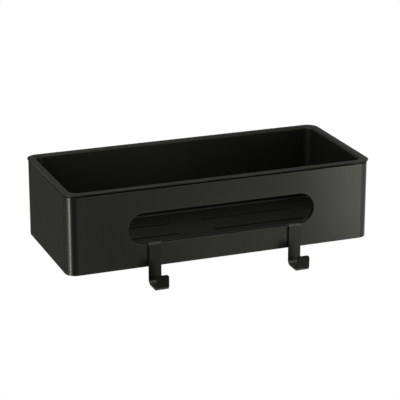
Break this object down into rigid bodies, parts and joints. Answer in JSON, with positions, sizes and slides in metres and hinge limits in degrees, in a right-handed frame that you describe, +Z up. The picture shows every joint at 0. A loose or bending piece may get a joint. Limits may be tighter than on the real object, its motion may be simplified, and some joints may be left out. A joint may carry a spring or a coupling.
{
  "type": "wall storage caddy",
  "caption": "Wall-hung storage caddy: rounded metal sleeve with a round-ended front slot, lift-out plastic tub with drain slots, and strip hooks that slide along the slot.",
  "frame": {"origin": "on the wall plane, midway between the two screw holes in the back of the sleeve", "axes": "+X along the front to the viewer's right, +Y into the wall, +Z up"},
  "size_m": [0.3026, 0.1552, 0.0937],
  "materials": {
    "sleeve_metal": "black satin coat over finely brushed sheet",
    "tub_plastic": "black moulded plastic, fine matt grain",
    "hook_metal": "black satin coat on bent strip",
    "bush_nylon": "black nylon"
  },
  "bodies": {
    "sleeve": {"outer_sleeve": "sleeve_metal", "screw_bushes": "bush_nylon"},
    "tub": {"inner_tub": "tub_plastic"},
    "left_hook": {"left_hook": "hook_metal"},
    "right_hook": {"right_hook": "hook_metal"}
  },
  "joints": [
    {"name": "tub_lift", "type": "slide", "parent": "sleeve", "child": "tub", "axis": [0, 0, 1], "range_m": [0, 0.09]},
    {"name": "left_hook_slide", "type": "slide", "parent": "sleeve", "child": "left_hook", "axis": [1, 0, 0], "range_m": [-0.003, 0.06]},
    {"name": "right_hook_slide", "type": "slide", "parent": "sleeve", "child": "right_hook", "axis": [1, 0, 0], "range_m": [-0.064, 0]}
  ]
}
